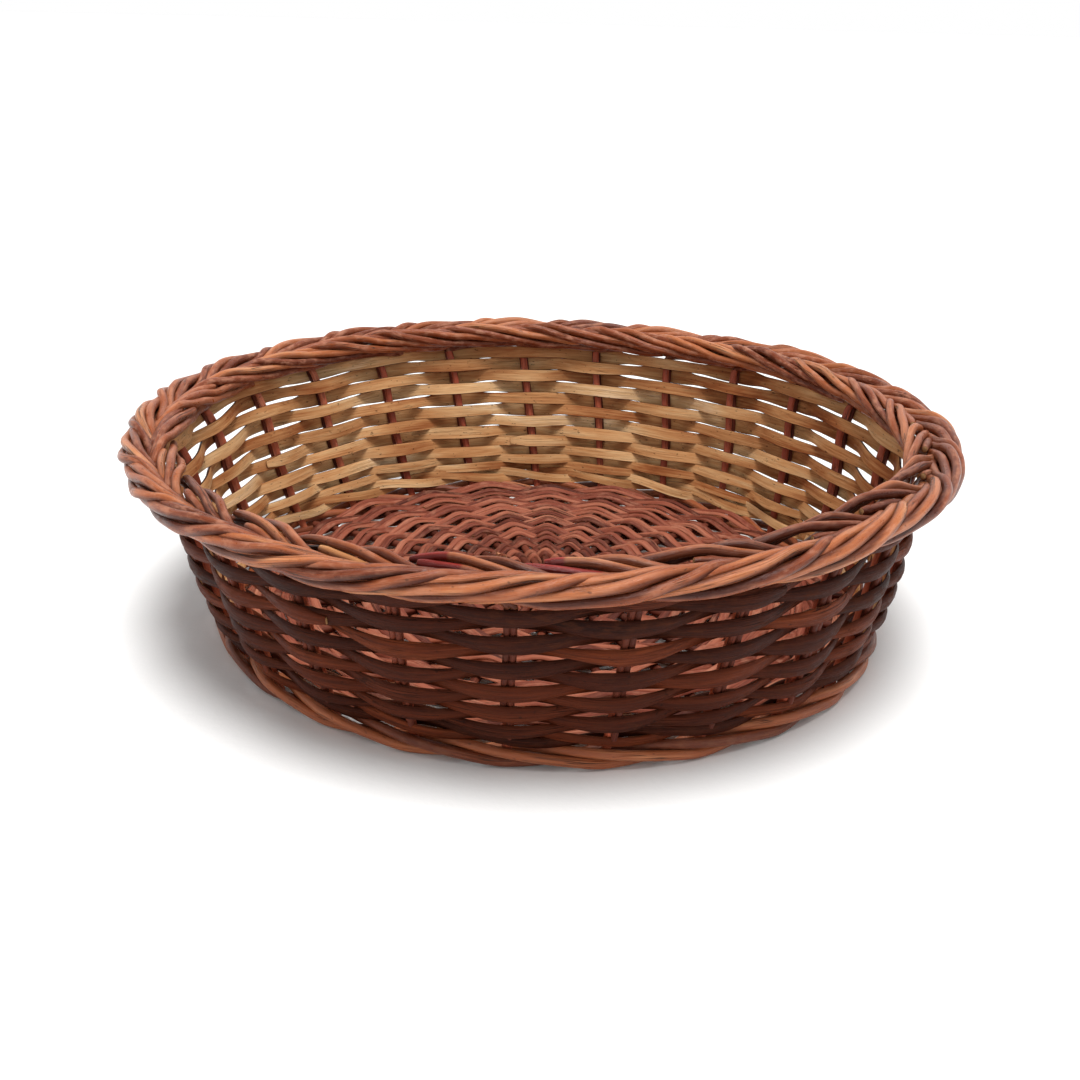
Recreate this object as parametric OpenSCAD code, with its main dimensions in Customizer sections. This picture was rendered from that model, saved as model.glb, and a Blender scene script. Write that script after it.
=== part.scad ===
// Round woven willow fruit basket with a plaited border.
// A woven base of crossed sticks sits in a twisted foot. Flared walls of flat split willow are
// woven over upright stakes, and the stakes end in a five-strand plait that forms the border.
// The origin is the centre of the resting plane, +Z is up, and lengths are in millimetres.

/* [Overall] */
// Outer diameter over the plaited border
rim_d = 360; // [350:1:370]
// Height from the resting plane to the top of the border
basket_h = 95; // [93:0.5:99]
// Diameter of the circle of stakes where they meet the resting plane
foot_d = 284; // [280:1:288]

/* [Stakes] */
// Number of stakes: odd, so that one weaver alternates from row to row
stake_n = 25; // [23:2:27]
// Diameter of a main stake
stake_d = 3.6; // [3:0.1:4]
// Diameter of the two thinner stakes pushed in beside each main stake
bye_stake_d = 2.8; // [2.6:0.1:3.2]
// Sideways lean of the stakes over the wall height, in stake spacings
stake_lean = 0.17; // [0:0.01:0.4]
// Direction of the first stake, anticlockwise from +X
stake_phase = 5.5; // [0:0.5:14]

/* [Wall weave] */
// Number of lengths of split willow in the wall
wall_weaver_n = 11; // [11:1:11]
// Stakes passed by each length: odd, so that the ends change sides
weaver_reach = 27; // [27:2:27]
// Width of a split willow weaver
weaver_w = 4.6; // [4:0.1:4.8]
// Thickness of a split willow weaver
weaver_t = 1.4; // [1:0.1:1.6]

/* [Base] */
// Sticks laid each way across the base
stick_n = 6; // [6:1:6]
// Diameter of a base stick
stick_d = 3.6; // [3:0.1:3.6]
// Number of rings woven over the fanned sticks
base_ring_n = 16; // [12:1:16]
// Width of a base weaver
base_weaver_w = 5.2; // [4:0.1:5.4]
// Rise of the base from its edge to its middle
base_crown = 3; // [0:0.5:4]
// Turn of the base against the stakes
base_turn = 6.5; // [0:0.5:15]

/* [Foot] */
// Diameter of the three rods of the foot
foot_rod_d = 3.8; // [3.4:0.1:4]
// Diameter of the two rods of the binding round at the foot of the wall
binder_rod_d = 2.7; // [2.4:0.1:2.8]

/* [Border] */
// Width of one plaited strand
strand_w = 6; // [5:0.5:6.5]
// Thickness of one plaited strand
strand_t = 4; // [3.6:0.2:4.4]
// Overall width of the border
border_w = 25; // [25:0.5:28]
// Overall height of the border
border_h = 14; // [14:0.5:16]

/* [Hidden] */
fit_gap = 0.1;
spacing = 360 / stake_n;

bark = [0.46, 0.21, 0.13];
peeled = [0.72, 0.52, 0.32];
red_skein = [0.52, 0.28, 0.21];
rim_bark = [0.62, 0.33, 0.21];

// Border: a plait whose centre line is a circle
border_r = rim_d / 2 - border_w / 2;
border_z = basket_h - border_h / 2;
plait_reach = (border_w - strand_w) / 2;
plait_rise = (border_h / 2 - strand_t / 2 * sin(60)) / sin(72);
plait_period = 5;

// Wall: a cone through the foot circle and the underside of the border
wall_r = foot_d / 2;
wall_top_z = border_z - border_h / 2;
wall_flare = atan((border_r - 1.8 - wall_r) / wall_top_z);
wall_l = wall_top_z / cos(wall_flare);

// Foot rods lie in two levels outside the stakes, and rest on the flat of a hexagon
foot_low = foot_rod_d / 2;
foot_high = foot_low + 1.25 * foot_rod_d;
foot_corner = foot_rod_d / 2 / cos(30);
foot_out = stake_d / 2 + foot_corner + fit_gap;
foot_in = foot_out + foot_corner + fit_gap;

// The binding round lies on the foot
row_gap = 0.3;
binder_low = foot_high + foot_rod_d / 2 + binder_rod_d / 2 + row_gap;
binder_high = binder_low + 1.08 * binder_rod_d;

// Wall rows start above the binding round and end under the border
weave_l0 = (binder_high + binder_rod_d / 2 + row_gap) / cos(wall_flare) + weaver_w / 2;
weave_l1 = wall_l - weaver_w / 2 - row_gap;
weave_turns = wall_weaver_n * weaver_reach / stake_n;
weaver_inside = -(stake_d / 2 + weaver_t / 2 + fit_gap);
bye_stake_out = stake_d / 2 + 0.42 * bye_stake_d;
weaver_outside = bye_stake_out + bye_stake_d / 2 + weaver_t / 2 + fit_gap;
bye_stake_l = weave_l0 - weaver_w / 2;
short_bye_stake_l = bye_stake_l + 18;
stake_end_gap = 0.7;
bye_stake_aside = bye_stake_d / 2 + fit_gap / 2;

// The base lies inside the foot, with its rings over and under the level of the sticks
base_weaver_t = 1.3;
base_lift = 0.6;
ring_lift = stick_d / 2 + base_weaver_t / 2 + fit_gap;
stick_z = foot_rod_d + base_lift + base_weaver_t / 2 + ring_lift;
stick_end_r = wall_r + foot_high * tan(wall_flare) - foot_in;
slath_pitch = stick_d + 0.6;
slath_half = slath_pitch * stick_n / 2;
fan_r = 36;
stick_lead = 8;
ring_r0 = fan_r + 2.5;
ring_r1 = wall_r + foot_low * tan(wall_flare) - foot_in - base_weaver_w / 2;
spoke_n = 4 * stick_n;

// A point on the wall cone: a turns from +X, l along the slope, out square to the wall
function wall_point(l, out) =
    [wall_r + l * sin(wall_flare) + out * cos(wall_flare), l * cos(wall_flare) - out * sin(wall_flare)];

// Direction of stake i at slope distance l
function stake_angle(i, l) = stake_phase + spacing * (i + stake_lean * l / wall_l);

// A closed section of n corners in the upright plane at angle a, with half sizes x and z
function section(r, a, z, half_x, half_z, n, turn = 0, tilt = 0) = [
    for (i = [0:n - 1])
        let (
            f = turn + 360 * i / n,
            x = half_x * cos(f),
            y = half_z * sin(f),
            radius = r + x * cos(tilt) + y * sin(tilt)
        )
        [radius * cos(a), radius * sin(a), z - x * sin(tilt) + y * cos(tilt)]
];

// A flat strip's section: t thick across the surface and w wide along it
function strip(r, a, z, t, w, tilt = 0) = section(r, a, z, t / sqrt(2), w / sqrt(2), 4, 45, tilt);

// Skins a list of sections, all with the same number of corners
module skin(rings, closed = false) {
    n = len(rings);
    k = len(rings[0]);
    sides = [
        for (i = [0:n - (closed ? 1 : 2)], j = [0:k - 1])
            let (
                a = i * k + j,
                b = i * k + (j + 1) % k,
                c = ((i + 1) % n) * k + (j + 1) % k,
                d = ((i + 1) % n) * k + j
            )
            each [[a, b, c], [a, c, d]]
    ];
    ends = closed ? [] : [[for (j = [k - 1:-1:0]) j], [for (j = [0:k - 1]) (n - 1) * k + j]];
    polyhedron([for (ring = rings) each ring], concat(sides, ends));
}

// A straight round rod from p to q
module rod(p, q, d) {
    v = q - p;
    translate(p)
        rotate([0, acos(v[2] / norm(v)), atan2(v[1], v[0])])
            cylinder(h = norm(v), d = d, $fn = 32);
}

// Foot: each rod passes outside two stakes and inside one, stepping from high to low outside.
// step counts stakes; each stake gives two points, just before and just after it.
function wale_point(step, side) =
    let (
        phase = step % 3,
        inside = phase == 0,
        high = phase == 1 || (inside && side > 0),
        z = high ? foot_high : foot_low,
        out = inside ? -foot_out : foot_out
    )
    [wall_r + z * tan(wall_flare) + out, z];

module foot_rod(turn) {
    flat_half = 0.15;
    color(bark) skin([
        for (step = [turn * stake_n:(turn + 1) * stake_n], side = [-1, 1])
            if (step < (turn + 1) * stake_n || side < 0)
                let (
                    end_gap = step == turn * stake_n && side < 0 ? 0.03 : 0,
                    p = wale_point(step, side),
                    a = stake_angle(step + side * flat_half + end_gap, p[1])
                )
                section(p[0], a, p[1], foot_corner, foot_corner, 6)
    ]);
}

// Binding round: two rods change places between stakes and clamp the foot of the wall
module binding_rod(turn) {
    flat_half = 0.12;
    out_off = stake_d / 2 + binder_rod_d / 2 + fit_gap;
    color(bark) skin([
        for (step = [turn * stake_n:(turn + 1) * stake_n], side = [-1, 1])
            if (step < (turn + 1) * stake_n || side < 0)
                let (
                    inside = step % 2 == 0,
                    end_gap = step == turn * stake_n && side < 0 ? 0.03 : 0,
                    z = (inside == (side > 0)) ? binder_high : binder_low,
                    r = wall_r + z * tan(wall_flare) + (inside ? -out_off : out_off),
                    a = stake_angle(step + side * flat_half + end_gap, z)
                )
                section(r, a, z, binder_rod_d / 2, binder_rod_d / 2, 6)
    ]);
}

// Height of the stick layer at radius r
function base_z(r) = stick_z + base_crown * (1 - r / stick_end_r);

// One base stick: straight through the crossing, then fanned to its place at the wall
module base_stick(index, level) {
    offset_y = (index - (stick_n - 1) / 2) * slath_pitch;
    fan = (index - (stick_n - 1) / 2) * 360 / spoke_n;
    half = [
        [stick_end_r * cos(fan), stick_end_r * sin(fan), base_z(stick_end_r)],
        [fan_r * cos(fan), fan_r * sin(fan), base_z(fan_r)],
        [slath_half + stick_lead, offset_y * 1.12, base_z(slath_half) + level / 2],
        [slath_half, offset_y, base_z(slath_half) + level]
    ];
    path = concat(half, [for (i = [3:-1:0]) [-half[i][0], half[i][1], half[i][2]]]);
    last = len(path) - 1;
    skin([
        for (i = [0:last])
            let (
                along = path[min(i + 1, last)] - path[max(i - 1, 0)],
                across = cross([0, 0, 1], along) / norm([along[0], along[1]])
            )
            [
                for (f = [0:45:315])
                    path[i] + stick_d / 2 * (cos(f) * across + [0, 0, sin(f)])
            ]
    ]);
}

// The lower and upper sticks cross square to each other, and all meet one level where they fan
module base_sticks_lower() {
    color(bark) rotate(base_turn)
        for (i = [0:stick_n - 1]) base_stick(i, -(stick_d / 2 + fit_gap));
}

module base_sticks_upper() {
    color(bark) rotate(base_turn + 90)
        for (i = [0:stick_n - 1]) base_stick(i, stick_d / 2 + fit_gap);
}

// Two rounds tie the cross: over the lower sticks, under the upper ones
module base_cross_ties() {
    tie_w = 2.6;
    tie_t = 0.8;
    corner = 38;
    color(red_skein) rotate(base_turn) for (round = [0:1]) {
        reach = 3.4 * (round + 1);
        level = (stick_d / 2 + fit_gap) * (1 - reach / 2 / stick_lead);
        lift = stick_d / 2 + tie_t / 2 + fit_gap - level;
        skin([
            for (side = [0:3], edge = [-1, 1])
                strip(
                    (slath_half + reach) / cos(corner), 90 * side + edge * corner,
                    base_z(slath_half) + (side % 2 == 0 ? 1 : -1) * lift, tie_w, tie_t
                )
        ], closed = true);
    }
}

// A base ring passes over one spoke and under the next; neighbours do the opposite
module base_weaver(index) {
    r = ring_r0 + (ring_r1 - ring_r0) * (index - 1) / (base_ring_n - 1);
    flat_half = min(10, 200 / r);
    color(red_skein) rotate(base_turn) skin([
        for (spoke = [0:spoke_n - 1], side = [-1, 1])
            let (over = (spoke + index) % 2 == 0 ? 1 : -1)
            strip(
                r, (spoke + 0.5) * 360 / spoke_n + side * flat_half * 0.5,
                base_z(r) + over * ring_lift, base_weaver_w, base_weaver_t
            )
    ], closed = true);
}

// A rod beside stake i: out square to the wall and along the wall by aside
module stake_rod(i, l0, l1, d, out, aside) {
    function place(l) =
        let (p = wall_point(l, out), a = stake_angle(i, l) + aside / p[0] * 180 / PI)
        [p[0] * cos(a), p[0] * sin(a), p[1]];
    rod(place(l0), place(l1), d);
}

// Main stakes stand between the foot rods and end under the border
module stakes() {
    color(bark) for (i = [0:stake_n - 1]) stake_rod(i, 0.8, wall_l - stake_end_gap, stake_d, 0, 0);
}

module bye_stakes_long() {
    color(bark) for (i = [0:stake_n - 1])
        stake_rod(i, bye_stake_l, wall_l - stake_end_gap, bye_stake_d, bye_stake_out, bye_stake_aside);
}

// The second bye-stake of each pair stops higher up the wall
module bye_stakes_short() {
    color(bark) for (i = [0:stake_n - 1])
        stake_rod(i, short_bye_stake_l, wall_l - stake_end_gap, bye_stake_d, bye_stake_out, -bye_stake_aside);
}

// A wall weaver climbs in one long spiral with the others, in front of and behind the stakes
module wall_weaver(index) {
    flat_half = 0.11;
    first = (index - 1) * weaver_reach;
    last = index * weaver_reach;
    steps = concat(
        [first + 0.01, first + flat_half],
        [for (i = [first + 1:last - 1], side = [-1, 1]) i + side * flat_half],
        [last - flat_half, last - 0.01]
    );
    color(peeled) skin([
        for (step = steps)
            let (
                l = weave_l0 + (weave_l1 - weave_l0) * step / (weave_turns * stake_n),
                outside = round(step) % 2 == 0,
                p = wall_point(l, outside ? weaver_outside : weaver_inside)
            )
            strip(p[0], stake_angle(step, l), p[1], weaver_t, weaver_w, wall_flare)
    ]);
}

// Section of a border strand, s stake spacings clockwise from its stake
function strand_section(stake, s, r, z, w, t) =
    section(r, stake_angle(stake, wall_l) - s * spacing, z, w / 2, t / 2, 6);

// One strand of the plait. From its stake it runs low to the inner edge, rises over the border to
// the outer edge, dives under there, and comes up to end on top of the inner edge.
module border_strand(stake) {
    tip_s = plait_period - 0.25;
    low_t = 0.64 * strand_t;
    early_t = 0.8 * strand_t;
    floor_z = wall_top_z - fit_gap;
    rings = concat(
        [
            strand_section(
                stake, 0, border_r - 0.25 * plait_reach, floor_z + low_t / 2 * sin(60),
                0.77 * strand_w, low_t
            ),
            strand_section(
                stake, 0.25, border_r - 0.7 * plait_reach, floor_z + early_t / 2 * sin(60),
                0.85 * strand_w, early_t
            )
        ],
        [
            for (quarter = [2:4 * tip_s])
                let (
                    s = quarter / 4,
                    f = 360 * s / plait_period,
                    taper = s == tip_s ? 0.7 : 1
                )
                strand_section(
                    stake, s, border_r - plait_reach * cos(f), border_z - plait_rise * sin(2 * f),
                    strand_w * taper, strand_t * taper
                )
        ]
    );
    // The strand runs clockwise, so its sections are skinned from the tip back
    skin([for (i = [len(rings) - 1:-1:0]) rings[i]]);
}

// Every fifth strand from the given one
module border_plait(index) {
    color(rim_bark) for (stake = [index - 1:plait_period:stake_n - 1]) border_strand(stake);
}

for (i = [1:3]) foot_rod(i - 1);
for (i = [1:2]) binding_rod(i - 1);
base_sticks_lower();
base_sticks_upper();
base_cross_ties();
for (i = [1:base_ring_n]) base_weaver(i);
stakes();
bye_stakes_long();
bye_stakes_short();
for (i = [1:wall_weaver_n]) wall_weaver(i);
for (i = [1:plait_period]) border_plait(i);
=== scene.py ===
"""Looks for the round woven willow fruit basket: swept willow rods and split skeins in place of the
plain CAD solids, with procedural bark and wood, a pale floor, soft light and the camera."""

import math

import bpy
import numpy as np
from mathutils import Matrix, Vector


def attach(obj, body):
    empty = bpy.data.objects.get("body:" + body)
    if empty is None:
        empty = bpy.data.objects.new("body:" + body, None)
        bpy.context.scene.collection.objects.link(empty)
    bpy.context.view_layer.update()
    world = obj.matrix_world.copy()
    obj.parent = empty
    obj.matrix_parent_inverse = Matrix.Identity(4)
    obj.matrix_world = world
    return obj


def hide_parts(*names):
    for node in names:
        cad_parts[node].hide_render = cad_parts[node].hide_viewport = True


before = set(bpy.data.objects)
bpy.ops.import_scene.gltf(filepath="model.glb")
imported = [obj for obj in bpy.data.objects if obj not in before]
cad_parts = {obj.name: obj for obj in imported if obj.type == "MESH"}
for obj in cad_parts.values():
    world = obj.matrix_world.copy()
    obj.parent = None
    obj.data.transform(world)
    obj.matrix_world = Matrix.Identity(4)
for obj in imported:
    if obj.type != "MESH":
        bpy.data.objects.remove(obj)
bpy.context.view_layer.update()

# ---------------------------------------------------------------- dimensions, in millimetres
# The main sizes repeat part.scad. Some follow the photo instead, with the CAD's size beside them,
# and the offsets between willow strands are this model's own
FIT_GAP = 0.1
ROW_GAP = 0.3
SAMPLES = 14  # points along a woven strand for each stake or spoke that it passes

RIM_R = 180.0
HEIGHT = 95.0
FOOT_R = 142.0
STAKE_N = 25
STAKE_D = 3.6
BYE_D = 2.6  # 2.8 in the CAD
STAKE_LEAN = 0.17
STAKE_PHASE = 5.5
BORDER_W = 25.0
BORDER_H = 14.0
SPACING = 360.0 / STAKE_N
BORDER_R = RIM_R - BORDER_W / 2
BORDER_Z = HEIGHT - BORDER_H / 2
WALL_TOP_Z = BORDER_Z - BORDER_H / 2
FLARE = math.atan((BORDER_R - 1.8 - FOOT_R) / WALL_TOP_Z)
WALL_L = WALL_TOP_Z / math.cos(FLARE)

FOOT_ROD_D = 3.8
FOOT_LOW = FOOT_ROD_D / 2
FOOT_HIGH = FOOT_LOW + 1.25 * FOOT_ROD_D
FOOT_OUT = STAKE_D / 2 + FOOT_ROD_D / 2 + ROW_GAP
BINDER_D = 2.7
BINDER_LOW = FOOT_HIGH + FOOT_ROD_D / 2 + BINDER_D / 2 + ROW_GAP
BINDER_HIGH = BINDER_LOW + 1.08 * BINDER_D
BINDING_W = 4.9  # a split skein here, a round rod in the CAD
BINDING_T = 1.7
JOIN_LAP = 0.2

WEAVER_N = 11
WEAVER_REACH = 27
WEAVE_L0 = (BINDER_HIGH + BINDER_D / 2 + ROW_GAP) / math.cos(FLARE) + 1.3
WEAVE_L1 = WALL_L - 0.6
WEAVER_W = 6.6  # 4.6 in the CAD
WEAVER_T = 2.1  # 1.4 in the CAD
BYE_OUT = STAKE_D / 2 + 0.1 * BYE_D
WEAVER_IN = -(STAKE_D / 2 + WEAVER_T / 2 + 0.05)
WEAVER_OUT = BYE_OUT + BYE_D / 2 + WEAVER_T / 2 + 0.05
BYE_ASIDE = BYE_D / 2 - 0.15
BYE_L0 = WEAVE_L0 - 2.3
STAKE_END_L = WALL_L - 3.0

STICK_N = 6
STICK_D = 3.6
RING_N = 16
SKEIN_W = 4.0  # one of a pair; a single 5.2 in the CAD
RING_T = 1.3
BASE_CROWN = 3.0
BASE_TURN = 6.5
SPOKE_N = 4 * STICK_N
RING_LIFT = STICK_D / 2 + RING_T / 2 + FIT_GAP
STICK_Z = FOOT_ROD_D + 0.6 + RING_T / 2 + RING_LIFT
STICK_END_R = FOOT_R + FOOT_HIGH * math.tan(FLARE) - FOOT_OUT - FOOT_ROD_D / 2 - ROW_GAP
SLATH_PITCH = STICK_D + 0.6
SLATH_HALF = SLATH_PITCH * STICK_N / 2
SLATH_SPREAD = 1.12
STICK_LEAD = 8
TIE_W = 3.0
TIE_T = 0.84
LACING_N = 4
LACING_R0 = 22.8
LACING_W = 3.8
FAN_R = 36.0
RING_R0 = FAN_R + 2.5
RING_R1 = 133.4

ROD_PITCH = 4.3
PLAIT_SAMPLES = 30
LEAD_SAMPLES = 14
PLAIT_PERIOD = 5
PLAIT_REACH = 10.0  # 9.5 in the CAD
PLAIT_RISE = 4.5  # 5.5 in the CAD
PLAIT_Z = BORDER_Z - 1.0
PLAIT_SINK = {-1: 1.7, 0: 0.4, 1: 0.0}

# The base sits a little to one side of the rim, as the maker pulled it, and the rim leans
BASE_ASIDE = np.array([2.5, 1.4])
RIM_ASIDE = np.array([-1.4, -1.4])
RIM_LEAN = (2.7, 2.4, 0.7, -1.1)
RIM_OVAL = (-1.0, -1.2)
FOOT_OVAL = -1.6
SIDE_DRAW = 0.018
DRAWN_Z, DRAWN_SPREAD = 66, 17
DRAWN_TOP, DRAWN_FADE = 82, 6


# ---------------------------------------------------------------- shapes
def wobble(rng, x, lengths, size):
    """A smooth random run along x, made of one wave of each length."""
    total = np.zeros(len(x))
    for length in lengths:
        total += np.sin(2 * np.pi * (x / length + rng.uniform())) * rng.uniform(0.6, 1.2)
    return size * total / math.sqrt(len(lengths))


def ease(x):
    x = np.clip(x, 0, 1)
    return x * x * (3 - 2 * x)


def round_profile(n):
    f = 2 * np.pi * np.arange(n) / n
    return np.stack([np.cos(f), np.sin(f), np.ones(n)], 1)


# Columns: across, through, and how much of the surface is bark
SPLIT_PROFILE = np.array([
    (-1.0, -0.55, 0.9), (-0.94, -0.96, 0.34), (-0.80, -1.0, 0.0), (0.0, -1.0, 0.0), (0.80, -1.0, 0.0),
    (0.94, -0.96, 0.34), (1.0, -0.55, 0.9), (0.90, 0.15, 1.0), (0.58, 0.72, 1.0), (0.0, 1.0, 1.0),
    (-0.58, 0.72, 1.0), (-0.90, 0.15, 1.0),
])
# The base skeins show less bark along their edges
SKEIN_PROFILE = SPLIT_PROFILE.copy()
SKEIN_PROFILE[np.abs(SPLIT_PROFILE[:, 0]) > 0.85, 2] -= 0.35
ROD_PROFILE = round_profile(12)


def unit(v):
    return v / np.maximum(np.linalg.norm(v, axis=1, keepdims=True), 1e-9)


class Strand:
    """One length of willow: a profile swept along centre, with its own traits for the material."""

    def __init__(self, centre, side, half_w, half_t, profile, tag, dye=0.0, bark=1.0, warm=0.0, depth=None):
        n = len(centre)
        tangent = unit(np.gradient(centre, axis=0))
        side = unit(side - (side * tangent).sum(1, keepdims=True) * tangent)
        up = np.cross(tangent, side)
        half_w = np.broadcast_to(half_w, n).astype(float)
        half_t = np.broadcast_to(half_t, n).astype(float)
        along = np.concatenate([[0], np.cumsum(np.linalg.norm(np.diff(centre, axis=0), axis=1))])
        dye = np.broadcast_to(dye, n)
        bark = np.broadcast_to(bark, n)
        warm = np.broadcast_to(warm, n)
        # A smaller ring just past each end rounds the cut and carries the colour of the cut face
        order = np.concatenate([[0], np.arange(n), [n - 1]])
        shrink = np.ones(n + 2)
        shrink[0] = shrink[-1] = 0.72
        push = np.zeros(n + 2)
        push[0], push[-1] = -0.25, 0.25
        cut = np.zeros(n + 2)
        cut[0] = cut[-1] = 1
        c = centre[order] + tangent[order] * push[:, None]
        w = half_w[order] * shrink
        t = half_t[order] * shrink
        m = len(profile)
        px, py, pb = profile[:, 0], profile[:, 1], profile[:, 2]
        self.verts = (
            c[:, None, :]
            + side[order][:, None, :] * (w[:, None] * px)[:, :, None]
            + up[order][:, None, :] * (t[:, None] * py)[:, :, None]
        ).reshape(-1, 3)
        ones = np.ones(m)
        self.grain = np.stack(
            [(along[order][:, None] * ones).ravel(), (w[:, None] * px).ravel(), (t[:, None] * py).ravel()], 1
        )
        self.trait = np.stack(
            [np.full(len(self.verts), tag), (bark[order][:, None] * pb).ravel(), (cut[:, None] * ones).ravel()], 1
        )
        # The third tint column is painted shade, from the depth function where one is given
        shade_depth = depth(self.verts, np.repeat(c, m, axis=0)) if depth else np.zeros(len(self.verts))
        self.tint = np.stack(
            [(dye[order][:, None] * ones).ravel(), (warm[order][:, None] * ones).ravel(), shade_depth], 1
        )
        rings, j = np.arange(n + 1)[:, None] * m, np.arange(m)
        k = (j + 1) % m
        self.quads = np.stack([rings + j, rings + k, rings + m + k, rings + m + j], 2).reshape(-1, 4)
        self.caps = [list(range(m - 1, -1, -1)), list(range((n + 1) * m, (n + 2) * m))]


def make_piece(name, strands, material, node):
    """Joins strands into one closed mesh that stands for a CAD node."""
    verts, faces, start = [], [], 0
    for s in strands:
        faces += (s.quads + start).tolist() + [[i + start for i in cap] for cap in s.caps]
        verts.append(s.verts)
        start += len(s.verts)
    verts = settled(np.concatenate(verts)) * 0.001
    mesh = bpy.data.meshes.new(name)
    mesh.from_pydata(verts.tolist(), [], faces)
    for field in ("grain", "trait", "tint"):
        data = np.concatenate([getattr(s, field) for s in strands]).astype(np.float32)
        mesh.attributes.new(field, "FLOAT_VECTOR", "POINT").data.foreach_set("vector", data.ravel())
    mesh.validate()
    mesh.shade_smooth()
    mesh.set_sharp_from_angle(angle=math.radians(42))
    mesh.materials.append(material)
    piece = bpy.data.objects.new(name, mesh)
    bpy.context.scene.collection.objects.link(piece)
    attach(piece, "root")
    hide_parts(node)
    return piece


def settled(verts):
    """The basket's unevenness: a leaning, slightly oval rim and a wall drawn in at its sides."""
    verts = verts.copy()
    high = np.clip(verts[:, 2] / BORDER_Z, 0, 1.1)
    low = np.clip(1 - high, 0, 1)
    r = np.hypot(verts[:, 0], verts[:, 1])
    a = np.arctan2(verts[:, 1], verts[:, 0])
    waves = np.stack([np.cos(a), np.sin(a), np.cos(2 * a), np.sin(2 * a)])
    drawn = np.exp(-((verts[:, 2] - DRAWN_Z) / DRAWN_SPREAD) ** 2) * ease((DRAWN_TOP - verts[:, 2]) / DRAWN_FADE)
    oval = 1 + (high * (RIM_OVAL @ waves[2:]) + low * FOOT_OVAL * waves[3]) / np.maximum(r, 60)
    verts[:, :2] *= oval[:, None]
    verts[:, 0] *= 1 - SIDE_DRAW * drawn
    verts[:, :2] += BASE_ASIDE * low[:, None] + RIM_ASIDE * high[:, None]
    verts[:, 2] += high * (RIM_LEAN @ waves)
    return verts


def polar(r, degrees, z):
    a = np.radians(degrees)
    return np.stack([r * np.cos(a), r * np.sin(a), z + 0 * a], -1)


def wall_point(l, out):
    return FOOT_R + l * math.sin(FLARE) + out * math.cos(FLARE), l * math.cos(FLARE) - out * math.sin(FLARE)


def stake_angle(i, l):
    return STAKE_PHASE + SPACING * (i + STAKE_LEAN * l / WALL_L)


def outward(degrees):
    a = np.radians(degrees)
    return np.stack([np.cos(a), np.sin(a), 0 * a], -1)


def leaning(degrees, radial, upright):
    """Directions at these angles, from their outward and their upward share."""
    a = np.radians(degrees)
    return np.stack([np.cos(a) * radial, np.sin(a) * radial, upright], -1)


def through(x, xs, ys):
    """Smooth curve through the points (xs, ys)."""
    xs, ys = np.array(xs, float), np.array(ys, float)
    slope = np.gradient(ys, xs)
    i = np.clip(np.searchsorted(xs, x, side="right") - 1, 0, len(xs) - 2)
    h = xs[i + 1] - xs[i]
    t = (x - xs[i]) / h
    return (ys[i] * (1 + 2 * t) * (1 - t) ** 2 + h * slope[i] * t * (1 - t) ** 2
            + ys[i + 1] * t * t * (3 - 2 * t) + h * slope[i + 1] * t * t * (t - 1))


def repeated(x, xs, ys, period):
    """Smooth periodic curve through the points (xs, ys)."""
    xs = np.concatenate([np.array(xs) + period * k for k in (-1, 0, 1)])
    return through(np.mod(x, period), xs, np.tile(ys, 3))


# Slow unevenness of the whole wall, shared by neighbouring rows so that they stay apart
field_rng = np.random.default_rng(5)
FIELD = [(int(field_rng.integers(2, 14)), field_rng.uniform(0, 6.28), field_rng.uniform(-0.05, 0.05))
         for _ in range(9)]


def wall_drift(degrees, l):
    a = np.radians(degrees)
    return sum(np.sin(k * a + p + q * l) for k, p, q in FIELD) / 3


# ---------------------------------------------------------------- materials
def linear(r, g, b):
    def one(c):
        c /= 255
        return c / 12.92 if c <= 0.04045 else ((c + 0.055) / 1.055) ** 2.4
    return one(r), one(g), one(b), 1.0


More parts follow.
